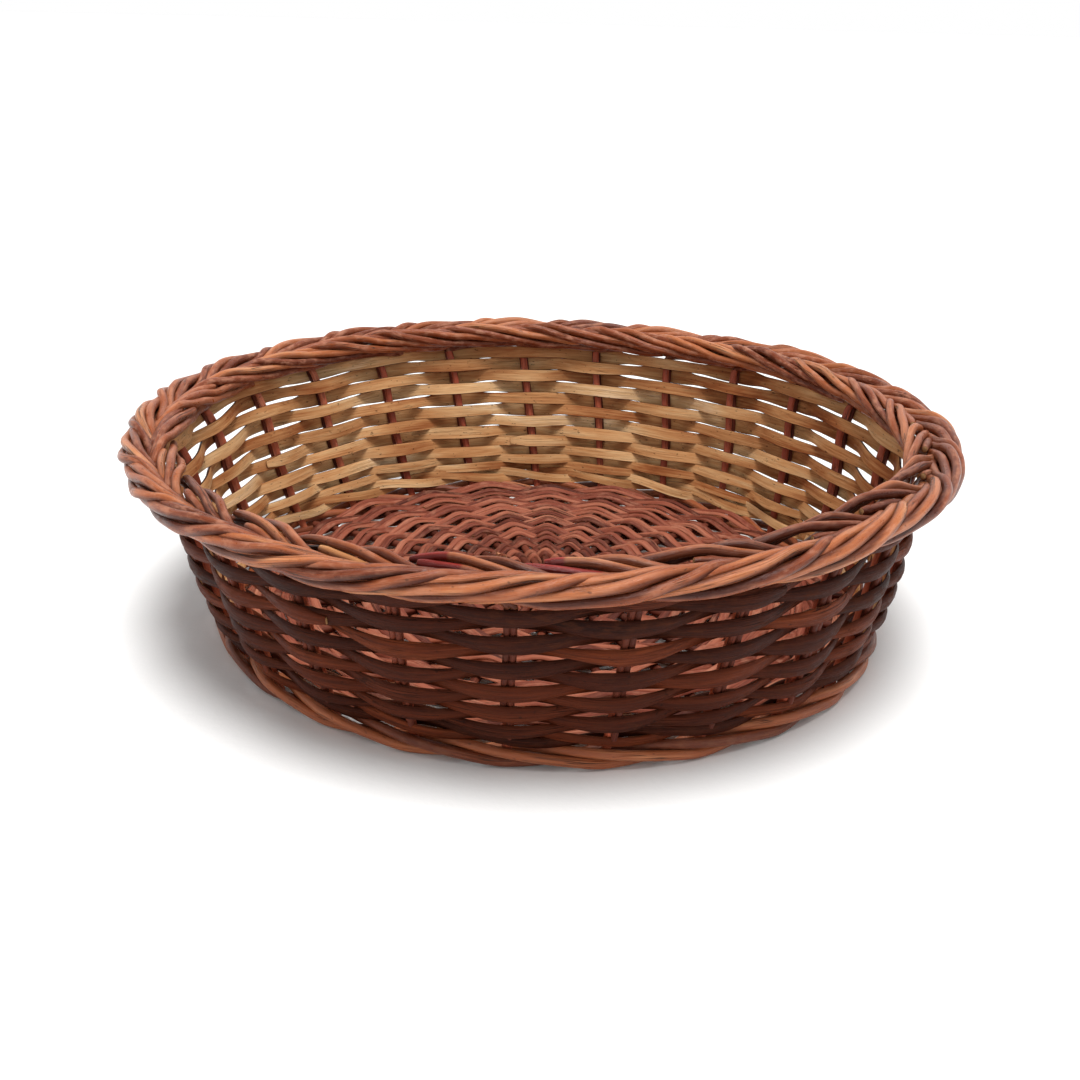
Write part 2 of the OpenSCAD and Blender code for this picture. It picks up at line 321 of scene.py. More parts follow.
class Graph:
    """Short calls for building a material's nodes."""

    def __init__(self, name):
        self.material = bpy.data.materials.new(name)
        self.material.use_nodes = True
        self.tree = self.material.node_tree
        self.tree.nodes.clear()

    def put(self, kind, values=(), **settings):
        node = self.tree.nodes.new(kind)
        for k, v in settings.items():
            setattr(node, k, v)
        for key, v in dict(values).items():
            if isinstance(v, bpy.types.NodeSocket):
                self.tree.links.new(v, node.inputs[key])
            else:
                node.inputs[key].default_value = v
        return node

    def attribute(self, name):
        return self.put("ShaderNodeAttribute", attribute_name=name, attribute_type="GEOMETRY").outputs["Vector"]

    def split(self, vector):
        return self.put("ShaderNodeSeparateXYZ", {0: vector}).outputs

    def math(self, operation, a, b=0.0, c=0.0, clamp=False):
        node = self.put("ShaderNodeMath", {0: a, 1: b, 2: c}, operation=operation, use_clamp=clamp)
        return node.outputs[0]

    def scaled(self, vector, scale, shift=None):
        out = self.put("ShaderNodeVectorMath", {0: vector, 1: scale}, operation="MULTIPLY").outputs[0]
        if shift is not None:
            out = self.put("ShaderNodeVectorMath", {0: out, 1: shift}, operation="ADD").outputs[0]
        return out

    def noise(self, vector, scale, detail=3.0, roughness=0.55, distortion=0.0):
        return self.put("ShaderNodeTexNoise", {
            "Vector": vector, "Scale": scale, "Detail": detail, "Roughness": roughness,
            "Distortion": distortion}).outputs["Fac"]

    def window(self, value, low, high):
        """0 below low, 1 above high, smooth between."""
        return self.put("ShaderNodeMapRange", {
            "Value": value, "From Min": low, "From Max": high}, interpolation_type="SMOOTHSTEP").outputs[0]

    def ramp(self, value, stops):
        node = self.put("ShaderNodeValToRGB", {0: value})
        ramp = node.color_ramp
        while len(ramp.elements) < len(stops):
            ramp.elements.new(0.5)
        for element, (place, colour) in zip(ramp.elements, stops):
            element.position = place
            element.color = colour
        return node.outputs[0]

    def mix(self, share, a, b, blend="MIX"):
        node = self.put("ShaderNodeMix", {0: share, 6: a, 7: b}, data_type="RGBA", blend_type=blend)
        return node.outputs[2]

    def finish(self, colour, roughness, height, depth, shine=0.4):
        bump = self.put("ShaderNodeBump", {"Height": height, "Strength": 1.0, "Distance": depth})
        shader = self.put("ShaderNodeBsdfPrincipled", {
            "Base Color": colour, "Roughness": roughness, "Normal": bump.outputs[0],
            "IOR": 1.45, "Specular IOR Level": shine})
        self.put("ShaderNodeOutputMaterial", {"Surface": shader.outputs[0]})
        return self.material


BARK_RELIEF = 0.00055  # metres
BLACKISH = linear(34, 16, 11)
CUT_WOOD = linear(186, 142, 96)
# Colour multiplied in as painted shade in the border plait's grooves and down its rods' flanks
SHADE_COLOUR = linear(96, 50, 32)


def willow(name, bark_tones, dust_and_highlight_tone, gloss, wood_tones=None, shine=0.4, speck=0.5, vein=1.0):
    """Willow in bark tones, and in wood tones on split faces, streaked along the grain."""
    g = Graph(name)
    grain, trait, tint = g.attribute("grain"), g.attribute("trait"), g.attribute("tint")
    tag, bark, cut = g.split(trait)
    dye, warm, shade_depth = g.split(tint)
    shift = g.put("ShaderNodeCombineXYZ", {
        0: g.math("MULTIPLY", tag, 913.0), 1: g.math("MULTIPLY", tag, 371.0),
        2: g.math("MULTIPLY", tag, 157.0)}).outputs[0]
    streak = g.noise(g.scaled(grain, (0.035, 1.0, 1.0), shift), 0.85, 4.0, 0.6)
    fibre = g.noise(g.scaled(grain, (0.09, 3.6, 3.6), shift), 1.0, 3.0, 0.6)
    patch = g.noise(g.scaled(grain, (0.022, 0.10, 0.10), shift), 1.0, 3.0, 0.6, 0.4)
    mottle = g.noise(g.scaled(grain, (0.16, 0.35, 0.35), shift), 1.0, 4.0, 0.65)
    spot = g.noise(g.scaled(grain, (0.45, 0.8, 0.8), shift), 0.9, 2.0, 0.5)
    crack = g.noise(g.scaled(grain, (0.018, 0.9, 0.9), shift), 0.75, 2.0, 0.5, 0.6)

    # Bark: one tone per rod, drifting along it, with streaks, dark lines and scars
    own = g.math("FRACT", g.math("MULTIPLY", tag, 17.31))
    tone = g.math("ADD", g.math("MULTIPLY", own, 0.55), g.math("MULTIPLY", patch, 0.75))
    tone = g.math("ADD", tone, g.math("MULTIPLY", g.math("SUBTRACT", streak, 0.5), 0.55))
    tone = g.math("SUBTRACT", tone, 0.17, clamp=True)
    places = [i / (len(bark_tones) - 1) for i in range(len(bark_tones))]
    colour = g.ramp(tone, list(zip(places, bark_tones)))
    colour = g.mix(g.math("MULTIPLY", g.window(fibre, 0.52, 0.75), 0.22), colour, bark_tones[-1])
    colour = g.mix(g.math("MULTIPLY", g.window(fibre, 0.48, 0.26), 0.30), colour, bark_tones[0])
    # Pale dust mottle, its share set by warm: real dust, and on the rim's sides and back partly a painted
    # highlight
    dust_and_highlight = g.window(mottle, 0.46, 0.66)
    dust_and_highlight_share = g.math("ADD", g.math("MULTIPLY", warm, 0.6), 0.10)
    dust_and_highlight = g.math("MULTIPLY", dust_and_highlight, dust_and_highlight_share, clamp=True)
    colour = g.mix(dust_and_highlight, colour, dust_and_highlight_tone)

    line = g.math("ABSOLUTE", g.math("SUBTRACT", crack, 0.5))
    line = g.math("MULTIPLY", g.window(line, 0.022, 0.004), g.window(patch, 0.50, 0.62))
    line = g.math("MULTIPLY", line, vein)
    colour = g.mix(g.math("MULTIPLY", line, 0.8), colour, BLACKISH)

    if wood_tones:
        wood_tone = g.math("ADD", g.math("MULTIPLY", own, 0.30), g.math("MULTIPLY", patch, 1.10))
        wood_tone = g.math("ADD", wood_tone, g.math("MULTIPLY", g.math("SUBTRACT", streak, 0.5), 0.6))
        # Wood darkens where warm is high: painted shade on the wall's left and right sides, random tone on the
        # base skeins
        wood_tone = g.math("SUBTRACT", wood_tone, g.math("MULTIPLY", warm, 0.42))
        wood_tone = g.math("SUBTRACT", wood_tone, 0.02, clamp=True)
        places = [i / (len(wood_tones) - 1) for i in range(len(wood_tones))]
        wood = g.ramp(wood_tone, list(zip(places, wood_tones)))
        wood = g.mix(g.math("MULTIPLY", g.window(fibre, 0.5, 0.3), 0.35), wood, wood_tones[0])
        edge = g.math("ADD", bark, g.math("MULTIPLY", g.math("SUBTRACT", streak, 0.5), 0.5))
        colour = g.mix(g.window(edge, 0.22, 0.5), wood, colour)

    specks = g.math("MULTIPLY", g.window(spot, 0.66, 0.74), speck)
    colour = g.mix(specks, colour, BLACKISH)
    crimson = g.mix(g.window(streak, 0.35, 0.7), linear(108, 16, 16), linear(182, 44, 38))
    dyed = g.window(g.math("ADD", dye, g.math("MULTIPLY", mottle, 0.3)), 0.45, 0.85)
    colour = g.mix(g.math("MULTIPLY", dyed, 0.92), colour, crimson)
    # Painted shade: grooves, rod flanks and the inside of the plait darkened, most at the front
    shade_share = g.math("MULTIPLY", shade_depth, g.math("ADD", g.math("MULTIPLY", streak, 0.5), 0.55), clamp=True)
    colour = g.mix(shade_share, colour, SHADE_COLOUR, "MULTIPLY")
    ends = g.mix(g.window(fibre, 0.4, 0.6), CUT_WOOD, linear(120, 84, 54))
    colour = g.mix(g.window(cut, 0.35, 0.65), colour, ends)

    rough = g.math("ADD", gloss, g.math("MULTIPLY", mottle, 0.30))
    rough = g.math("ADD", rough, g.math("MULTIPLY", dust_and_highlight, 0.35), clamp=True)
    height = g.math("ADD", g.math("MULTIPLY", streak, 0.55), g.math("MULTIPLY", fibre, 0.35))
    height = g.math("ADD", height, g.math("MULTIPLY", mottle, 0.35))
    height = g.math("SUBTRACT", height, g.math("MULTIPLY", line, 0.5))
    height = g.math("SUBTRACT", height, g.math("MULTIPLY", specks, 0.25))
    return g.finish(colour, rough, height, BARK_RELIEF, shine)


# The rim's dusty tone doubles as a painted highlight on its sides and back
BORDER_LOOK = willow(
    "willow_border",
    [linear(74, 29, 14), linear(118, 54, 28), linear(152, 79, 44), linear(180, 106, 64), linear(212, 152, 106)],
    linear(194, 136, 108), 0.16,
    wood_tones=[linear(132, 70, 37), linear(178, 112, 64), linear(204, 144, 92), linear(222, 172, 120)],
    shine=0.34)
FOOT_LOOK = willow(
    "willow_foot",
    [linear(70, 29, 15), linear(100, 46, 25), linear(132, 66, 37), linear(160, 88, 52), linear(190, 122, 80)],
    linear(152, 104, 78), 0.26, shine=0.35)
# Lit and shaded copies of one stake willow: the stakes' tones are lightened as painted light where the weavers
# shade them, the bye-stakes' tones darkened as painted shade of the outer wall
STAKE_LOOK = willow(
    "willow_stake",
    [linear(130, 52, 32), linear(166, 76, 50), linear(190, 98, 67), linear(206, 124, 90)],
    linear(184, 120, 94), 0.34)
BYE_STAKE_LOOK = willow(
    "willow_bye_stake",
    [linear(56, 23, 14), linear(82, 35, 23), linear(108, 49, 32), linear(132, 66, 45)],
    linear(118, 74, 56), 0.36, shine=0.2)
# Darker than the other willow: partly the sticks' own bark, partly painted shade of the gaps between the base
# skeins where the sticks show
STICK_LOOK = willow(
    "willow_base_stick",
    [linear(44, 16, 9), linear(76, 31, 20), linear(108, 50, 34), linear(136, 74, 52)],
    linear(126, 78, 58), 0.42, shine=0.2)
SKEIN_LOOK = willow(
    "willow_base_skein",
    [linear(52, 18, 10), linear(90, 38, 25), linear(124, 60, 43), linear(154, 86, 63), linear(190, 128, 101)],
    linear(176, 122, 98), 0.46, shine=0.2,
    wood_tones=[linear(128, 66, 42), linear(168, 100, 68), linear(196, 134, 98), linear(212, 160, 122)],
    speck=0.35)
# Bark and dust tones: the skeins' own dark brown bark, darkened further as painted shade of the outer wall; the
# wood tones are the split faces inside
WALL_LOOK = willow(
    "willow_wall",
    [linear(24, 8, 4), linear(40, 14, 7), linear(60, 23, 11), linear(88, 37, 18), linear(126, 60, 31)],
    linear(78, 42, 27), 0.34, shine=0.08,
    wood_tones=[linear(108, 54, 28), linear(160, 98, 57), linear(200, 146, 96), linear(224, 182, 132),
                linear(240, 208, 168)],
    speck=0.6)


# ---------------------------------------------------------------- foot and binding round
def foot_strand(first, last, rng):
    step = np.arange(first - JOIN_LAP, last + JOIN_LAP, 1 / SAMPLES)
    marks = [0, 0.5, 1, 1.5, 2, 2.5]
    middle = (FOOT_LOW + FOOT_HIGH) / 2
    out = repeated(step, marks, [-FOOT_OUT, 0, FOOT_OUT, FOOT_OUT + 0.5, FOOT_OUT, 0], 3)
    z = repeated(step, marks, [middle, FOOT_HIGH, FOOT_HIGH, middle, FOOT_LOW, FOOT_LOW], 3)
    z = np.maximum(z, FOOT_LOW)
    # Ends tuck in behind a stake
    end = np.minimum(step - step[0], step[-1] - step)
    tuck = 1 - ease(end / 0.5)
    out = out - 0.5 * tuck + wobble(rng, step, (2.3, 5.1), 0.12)
    r = FOOT_R + z * math.tan(FLARE) + out
    a = stake_angle(step, z)
    half = 1.08 * FOOT_ROD_D / 2 * (1 - 0.25 * tuck) * (1 + wobble(rng, step, (1.7, 6.0), 0.025))
    centre = polar(r, a, z)
    centre[:, 2] = np.maximum(centre[:, 2], half)
    return Strand(centre, outward(a), half, half, ROD_PROFILE, rng.uniform(), warm=0.15)


def binding_strand(first, last, rng):
    """A split skein that changes places with its partner between stakes."""
    step = np.arange(first - JOIN_LAP, last + JOIN_LAP, 1 / SAMPLES)
    middle, rise = (BINDER_LOW + BINDER_HIGH) / 2, (BINDER_HIGH - BINDER_LOW) / 2
    swing = -np.cos(np.pi * step)
    out = swing * (STAKE_D / 2 + BINDING_T / 2 + FIT_GAP)
    z = middle + 0.4 + rise * 1.15 * np.sin(np.pi * step) + wobble(rng, step, (3.1, 7.7), 0.2)
    end = np.minimum(step - step[0], step[-1] - step)
    tuck = 1 - ease(end / 0.5)
    out = out - 0.4 * tuck
    r = FOOT_R + z * math.tan(FLARE) + out
    a = stake_angle(step, z)
    half = BINDING_W / 2 * (1 - 0.3 * tuck) * (1 + wobble(rng, step, (1.9, 4.7), 0.06))
    tilt = FLARE + wobble(rng, step, (1.3, 3.7), 0.12)
    side = leaning(a, np.sin(tilt), np.cos(tilt))
    return Strand(polar(r, a, z), side, half, BINDING_T / 2, SPLIT_PROFILE, rng.uniform(), warm=0.4)


# Each piece draws from its own seed. Joins are counted in stakes
FOOT_JOINS = (0, 24, 51, 75)
for k in range(3):
    rng = np.random.default_rng(100 + k)
    strand = foot_strand(FOOT_JOINS[k], FOOT_JOINS[k + 1], rng)
    make_piece(f"foot_rod_{k + 1}_look", [strand], FOOT_LOOK, f"foot_rod_{k + 1}")

BINDING_JOINS = (0, 26, 50)
for k in range(2):
    rng = np.random.default_rng(120 + k)
    strand = binding_strand(BINDING_JOINS[k], BINDING_JOINS[k + 1], rng)
    # The binding takes the wall's willow, its bark darkened as painted shade
    make_piece(f"binding_rod_{k + 1}_look", [strand], WALL_LOOK, f"binding_rod_{k + 1}")


# ---------------------------------------------------------------- base
def base_z(r):
    return STICK_Z + BASE_CROWN * (1 - r / STICK_END_R)


def turned(points, degrees):
    a = math.radians(degrees)
    c, s = math.cos(a), math.sin(a)
    return points @ np.array([[c, s, 0], [-s, c, 0], [0, 0, 1]])


def rounded_path(corners, n):
    """Points along a polyline with its corners smoothed, evenly spaced."""
    corners = np.array(corners, float)
    length = np.concatenate([[0], np.cumsum(np.linalg.norm(np.diff(corners, axis=0), axis=1))])
    at = np.linspace(0, length[-1], n)
    fine = np.stack([np.interp(at, length, corners[:, i]) for i in range(3)], 1)
    kernel = np.hanning(13)
    kernel /= kernel.sum()
    padded = np.concatenate([
        2 * fine[0] - fine[6:0:-1], fine, 2 * fine[-1] - fine[-2:-8:-1]])
    return np.stack([np.convolve(padded[:, i], kernel, "valid") for i in range(3)], 1)


def base_stick(index, level, turn, rng):
    offset = (index - (STICK_N - 1) / 2) * SLATH_PITCH
    fan = math.radians((index - (STICK_N - 1) / 2) * 360 / SPOKE_N)
    end_r = STICK_END_R + rng.uniform(-0.3, 0.0)
    half = [
        (end_r * math.cos(fan), end_r * math.sin(fan), base_z(end_r)),
        (FAN_R * math.cos(fan), FAN_R * math.sin(fan), base_z(FAN_R)),
        (SLATH_HALF + STICK_LEAD, offset * SLATH_SPREAD, base_z(SLATH_HALF) + level / 2),
        (SLATH_HALF, offset, base_z(SLATH_HALF) + level),
    ]
    corners = half + [(-x, y, z) for x, y, z in reversed(half)]
    path = rounded_path(corners, 181)
    x = np.arange(len(path)) * 1.5
    path[:, 1] += wobble(rng, x, (60, 110), 0.25)
    path = turned(path, turn)
    size = STICK_D / 2 * (1 + wobble(rng, x, (35, 80), 0.03))
    side = np.cross(np.array([0, 0, 1.0]), np.gradient(path, axis=0))
    return Strand(path, side, size, size * 0.92, ROD_PROFILE, rng.uniform(), warm=0.2)


for part, (level, turn) in {"lower": (-1, 0), "upper": (1, 90)}.items():
    rng = np.random.default_rng(200 + turn)
    sticks = [base_stick(i, level * (STICK_D / 2 + FIT_GAP), BASE_TURN + turn, rng) for i in range(STICK_N)]
    make_piece(f"base_sticks_{part}_look", sticks, STICK_LOOK, f"base_sticks_{part}")


def cross_tie(reach, rng):
    """A flat skein over two sides of the cross and under the other two."""
    level = (STICK_D / 2 + FIT_GAP) * (1 - reach / 16)
    lift = STICK_D / 2 + 0.5 - level
    a = np.linspace(-45, 335, 260)
    corner = np.maximum(np.abs(np.cos(np.radians(a))), np.abs(np.sin(np.radians(a))))
    r = (SLATH_HALF + reach) / np.maximum(corner, 0.80)
    z = base_z(SLATH_HALF) + lift * np.tanh(2.6 * np.cos(np.radians(2 * a)))
    z[-50:] -= 0.9 * ease((a[-50:] - a[-50]) / 30)
    path = turned(polar(r, a, z), BASE_TURN)
    return Strand(path, -outward(a + BASE_TURN), TIE_W / 2, TIE_T / 2, SPLIT_PROFILE, rng.uniform(), warm=0.2)


rng = np.random.default_rng(230)
make_piece("base_cross_ties_look", [cross_tie(3.4, rng), cross_tie(6.8, rng)], SKEIN_LOOK,
           "base_cross_ties")


def base_ring(index, share, rng):
    """One of a pair of flat skeins over one spoke and under the next, its ends lapped on a spoke."""
    r0 = RING_R0 + (RING_R1 - RING_R0) * (index - 1) / (RING_N - 1)
    start = rng.integers(0, SPOKE_N)
    lap = 0.42
    spokes = np.arange(start - lap, start + SPOKE_N + lap, 1 / SAMPLES)
    turn = np.pi * (spokes + index)
    wave = 0.9 * (np.cos(turn) + np.cos(3 * turn) / 9)
    a = (spokes + 0.5) * 360 / SPOKE_N
    x = a / 360
    drift = 0.26 * np.sin(2 * np.pi * 5 * x + index) + wobble(rng, x, (0.31, 0.07), 0.12)
    r = r0 + share * SKEIN_W * 0.47 + 0.7 * wave * (0.4 + 0.6 * index / RING_N) + drift
    z = base_z(r0) + wave * (RING_LIFT + 0.25 + 0.25 * share) + wobble(rng, x, (0.11, 0.05), 0.16)
    # One end lies on top of the other
    first = 1 - ease((spokes - spokes[0]) / (3 * lap))
    last = 1 - ease((spokes[-1] - spokes) / (3 * lap))
    z = z + 0.75 * (last - first)
    width = SKEIN_W / 2 * (1 + wobble(rng, x, (0.23, 0.09, 0.041), 0.08))
    width = width * (1 - 0.12 * (1 - np.abs(wave)))
    width = width * (1 - 0.3 * np.maximum(first, last) ** 3)
    tilt = wobble(rng, x, (0.17, 0.083), 0.16) + 0.07 * wave
    side = leaning(a, -np.cos(tilt), np.sin(tilt))
    warm = 0.35 + wobble(rng, x, (0.4, 0.15, 0.06), 0.25)
    path = turned(polar(r, a, z), BASE_TURN)
    return Strand(path, turned(side, BASE_TURN), width, RING_T / 2, SKEIN_PROFILE, rng.uniform(),
                  warm=np.clip(warm, 0, 1))


def lacing_ring(index, rng):
    """One of the first narrow skeins, where the sticks still fan out from the cross."""
    r0 = LACING_R0 + (FAN_R - 1.8 - LACING_R0) * index / LACING_N
    fanned = ease((r0 - SLATH_HALF - STICK_LEAD) / (FAN_R - SLATH_HALF - STICK_LEAD))
    place = np.arange(STICK_N) - (STICK_N - 1) / 2
    straight = np.degrees(np.arctan2(SLATH_SPREAD * SLATH_PITCH * place, SLATH_HALF + STICK_LEAD))
    group = straight * (1 - fanned) + place * 360 / SPOKE_N * fanned
    # Known fault: the angles end at spoke 32, so a ring that starts past spoke 7 falls short there
    angles = np.concatenate([group + 90 * turn for turn in range(-1, 6)])
    start = rng.integers(0, SPOKE_N)
    spokes = np.arange(start - 0.3, start + SPOKE_N + 0.3, 1 / SAMPLES)
    wave = np.cos(np.pi * (spokes + index))
    a = np.interp(spokes, np.arange(len(angles)) - 1.5 * STICK_N, angles)
    z = base_z(r0) + wave * (RING_LIFT + FIT_GAP)
    z = z - (STICK_D / 4 + 0.05) * (1 - fanned) * np.cos(np.radians(2 * a))
    z = z + 0.5 * ease((spokes - spokes[-1] + 1.2) / 1.2)
    r = r0 + 0.25 * wave + wobble(rng, spokes / SPOKE_N, (0.31, 0.13), 0.25)
    width = LACING_W / 2 * (1 + wobble(rng, spokes, (5.2, 2.3), 0.08))
    path = turned(polar(r, a, z), BASE_TURN)
    return Strand(path, turned(-outward(a), BASE_TURN), width, RING_T / 2, SKEIN_PROFILE, rng.uniform(),
                  warm=0.3)


for index in range(1, RING_N + 1):
    rng = np.random.default_rng(300 + index)
    pair = [base_ring(index, share, rng) for share in (-1, 1)]
    if index == 1:
        pair += [lacing_ring(k, rng) for k in range(LACING_N)]
    make_piece(f"base_weaver_{index}_look", pair, SKEIN_LOOK, f"base_weaver_{index}")


# ---------------------------------------------------------------- stakes
def stake_line(i, l, out, aside):
    r, z = wall_point(l, out)
    a = stake_angle(i, l) + np.degrees(aside / r)
    return polar(r, a, z), a


def stake_strand(i, l0, l1, d, out, aside, rng):
    l = np.linspace(l0, l1, 40)
    bend = wobble(rng, l, (38, 70), 0.18) * ease((l1 - l) / 12)
    path, a = stake_line(i, l, out + bend * 0.5, aside + bend)
    half = d / 2 * (1 + 0.04 * (1 - l / WALL_L) + wobble(rng, l, (13, 31), 0.02))
    return Strand(path, outward(a), half, half, ROD_PROFILE, rng.uniform())


STAKE_SETS = {
    "stakes": (0.9, STAKE_D, 0.0, 0.0),
    "bye_stakes_long": (BYE_L0, BYE_D, BYE_OUT, BYE_ASIDE),
    "bye_stakes_short": (BYE_L0 + 18, BYE_D, BYE_OUT, -BYE_ASIDE),
}
for k, (name, (l0, d, out, aside)) in enumerate(STAKE_SETS.items()):
    rng = np.random.default_rng(400 + k)
    rods = [stake_strand(i, l0, STAKE_END_L, d, out, aside, rng) for i in range(STAKE_N)]
    # Stakes take the lightened copy and bye-stakes the darkened one: painted light and painted shade
    make_piece(f"{name}_look", rods, STAKE_LOOK if name == "stakes" else BYE_STAKE_LOOK, name)


# ---------------------------------------------------------------- wall
# Rounds woven, and how far up the wall they have climbed: the first ones are close together
ROUNDS = (0, 2, 4, WEAVER_N * WEAVER_REACH / STAKE_N)
CLIMB = (0, 8.2, 18.8, WEAVE_L1 - WEAVE_L0)


def wall_strand(index, rng):
    """One length of split willow on the climbing spiral, its ends lapped over its neighbours'."""
    lap = 0.38
    first, last = (index - 1) * WEAVER_REACH, index * WEAVER_REACH
    begin = first - (lap if index > 1 else 0.3)
    end = last + (lap if index < WEAVER_N else 0.3)
    step = np.arange(begin, end, 1 / SAMPLES)
    l = WEAVE_L0 + through(step / STAKE_N, ROUNDS, CLIMB)
    swing = np.cos(np.pi * step)
    middle, reach = (WEAVER_OUT + WEAVER_IN) / 2, (WEAVER_OUT - WEAVER_IN) / 2
    out = middle + reach * swing
    # The first end lies against its stake and the last end over the next length's
    hold = 1 - ease((last + lap - step) / (2.4 * lap)) if index < WEAVER_N else 0 * step
    out = out + 1.5 * hold * (1 if last % 2 == 0 else -1)
    a = stake_angle(step, l)
    swung = (0.5 + wobble(rng, step, (6.1, 2.9), 0.3)) * swing
    l = l + swung + 0.55 * wall_drift(a, l) + wobble(rng, step, (2.7, 5.9, 1.3), 0.17)
    at_stake = np.abs(swing)
    half = WEAVER_W / 2 * (0.90 + 0.11 * at_stake) * (1 + wobble(rng, step, (7.3, 3.1, 1.7), 0.08))
    half = half * (1 - 0.08 * np.abs(np.cos(np.radians(a)))) * (1 + 0.30 * ease(swing))
    half = half * (0.74 + 0.26 * ease((step / STAKE_N - 0.3) / 3))
    tips = np.minimum(ease((step - begin) / 0.35), ease((end - step) / 0.35))
    half = half * (0.55 + 0.45 * tips)
    thick = WEAVER_T / 2 * (0.6 + 0.4 * tips)
    r, z = wall_point(l, out)
    tilt = FLARE + wobble(rng, step, (2.2, 6.1), 0.09) + 0.06 * (1 - at_stake)
    side = leaning(a, np.sin(tilt), np.cos(tilt))
    turn = np.radians(a)
    # Darker wood and more dust toward the left and right walls, most on the right: painted shade of the side
    # walls, with random tone along the strand
    warm = 0.30 + 0.28 * np.abs(np.cos(turn)) + 0.14 * np.cos(turn) + wobble(rng, step, (9.0, 4.0, 1.9), 0.26)
    return Strand(polar(r, a, z), side, half, thick, SPLIT_PROFILE, rng.uniform(),
                  warm=np.clip(warm, 0, 1))


for index in range(1, WEAVER_N + 1):
    rng = np.random.default_rng(500 + index)
    make_piece(f"wall_weaver_{index}_look", [wall_strand(index, rng)], WALL_LOOK,
               f"wall_weaver_{index}")


# ---------------------------------------------------------------- plaited border
# One bunch's way round the plait's section: stake spacings on from its stake, then the place in
# the section as shares of the reach (outwards) and of the rise (upwards)
PLAIT_WAY = np.array([
    (-0.5, -0.20, -1.25), (0.3, -0.30, -1.00), (0.8, -0.35, -0.85), (1.25, -0.05, -0.05), (1.75, 0.60, 0.88),
    (2.15, 0.92, 0.55), (2.5, 1.0, 0.08), (2.85, 0.95, -0.42), (3.25, 0.70, -0.95), (3.8, 0.02, -0.08),
    (4.4, -0.62, 0.92), (5.0, -1.0, 0.35), (5.5, -1.04, -0.35), (6.2, -0.88, -1.05), (6.8, -0.70, -1.25),
])
WAY_S = np.linspace(-0.5, 6.8, 1500)
WAY_R = PLAIT_REACH * through(WAY_S, PLAIT_WAY[:, 0], PLAIT_WAY[:, 1])
WAY_Z = PLAIT_RISE * through(WAY_S, PLAIT_WAY[:, 0], PLAIT_WAY[:, 2])
WAY_LENGTH = np.concatenate([[0], np.cumsum(np.hypot(np.diff(WAY_R), np.diff(WAY_Z)))])


def plait_point(stake, s, rod, rim):
    """Rod -1, 0 or 1 of a bunch, s stake spacings on from its stake."""
    crossing = np.abs(np.cos(2 * np.pi * s / PLAIT_PERIOD))
    pitch = ROD_PITCH * (0.72 + 0.28 * ease(crossing / 0.5))
    length = np.interp(s, WAY_S, WAY_LENGTH) + rod * pitch
    r, z = np.interp(length, WAY_LENGTH, WAY_R), np.interp(length, WAY_LENGTH, WAY_Z)
    # A bunch rises over the one before it, and its hindmost rod sinks under the one after it
    part = np.clip((s - 1.25) / 2.5, 0, 1.999) % 1
    lift = 0.5 * np.sin(2 * np.pi * part)
    lift = lift - PLAIT_SINK[rod] * ease((part - 0.22) / 0.3) * ease((1 - part) / 0.15)
    across, up = plait_normal(r, z)
    r, z = BORDER_R + r + lift * across, PLAIT_Z + z + lift * up
    a = stake_angle(stake, WALL_L) - s * SPACING
    return r + rim[0](a), a, z + rim[1](a)


def hermite(p, dp, q, dq, n):
    t = np.linspace(0, 1, n)[:, None]
    return ((2 * t**3 - 3 * t**2 + 1) * p + (t**3 - 2 * t**2 + t) * dp
            + (-2 * t**3 + 3 * t**2) * q + (t**3 - t**2) * dq)


def rim_drift(degrees, seed, size):
    rng = np.random.default_rng(seed)
    a = np.radians(degrees)
    return size * sum(np.sin(k * a + rng.uniform(0, 6.28)) for k in (2, 3, 5, 8, 13)) / 2


RIM = (lambda a: rim_drift(a, 61, 0.5), lambda a: rim_drift(a, 62, 0.6))


def plait_normal(r, z):
    """Outward direction of the plait's oval section near the place (r, z) in it."""
    across, up = r / PLAIT_REACH**2, z / PLAIT_RISE**2
    size = np.maximum(np.hypot(across, up), 1e-6)
    return across / size, up / size


def groove_shade(verts, centres):
    """Painted shade for each vertex: 0 on the crest of a rod, more down its flanks and some inside the plait,
    most at the front.
    """
    def section(points):
        a = np.degrees(np.arctan2(points[:, 1], points[:, 0]))
        return np.hypot(points[:, 0], points[:, 1]) - BORDER_R - RIM[0](a), points[:, 2] - PLAIT_Z - RIM[1](a)

    r, z = section(verts)
    mid_r, mid_z = section(centres)
    across, up = plait_normal(mid_r, mid_z)
    crest = ((r - mid_r) * across + (z - mid_z) * up) / np.maximum(np.hypot(r - mid_r, z - mid_z), 1e-6)
    share = np.maximum(np.hypot(r / (PLAIT_REACH + 2.1), z / (PLAIT_RISE + 2.1)), 0.05)
    inside = ease(((1 / share - 1) * np.hypot(r, z) - 0.8) / 2.8)
    front = 0.26 + 0.74 * ease(-1.3 * verts[:, 1] / BORDER_R)
    return np.maximum(ease((0.97 - crest) / 0.56), 0.3 * inside) * front


# Rods with a crimson end, by stake and rod: where the crimson starts and where the rod stops
CRIMSON = {(22, -1): (4.32, 4.80), (22, 0): (4.45, 4.88), (23, -1): (4.22, 4.95), (23, 0): (4.50, 4.74)}
PALE_ROD = (21, -1)
# Where a rod joins the plait, and where it ends at the front and at the back
BEGIN_S = 0.5
TIP_S = {-1: 4.55, 0: 5.1, 1: 5.6}
BACK_TIP_S = {-1: 5.45, 0: 6.05, 1: 6.15}


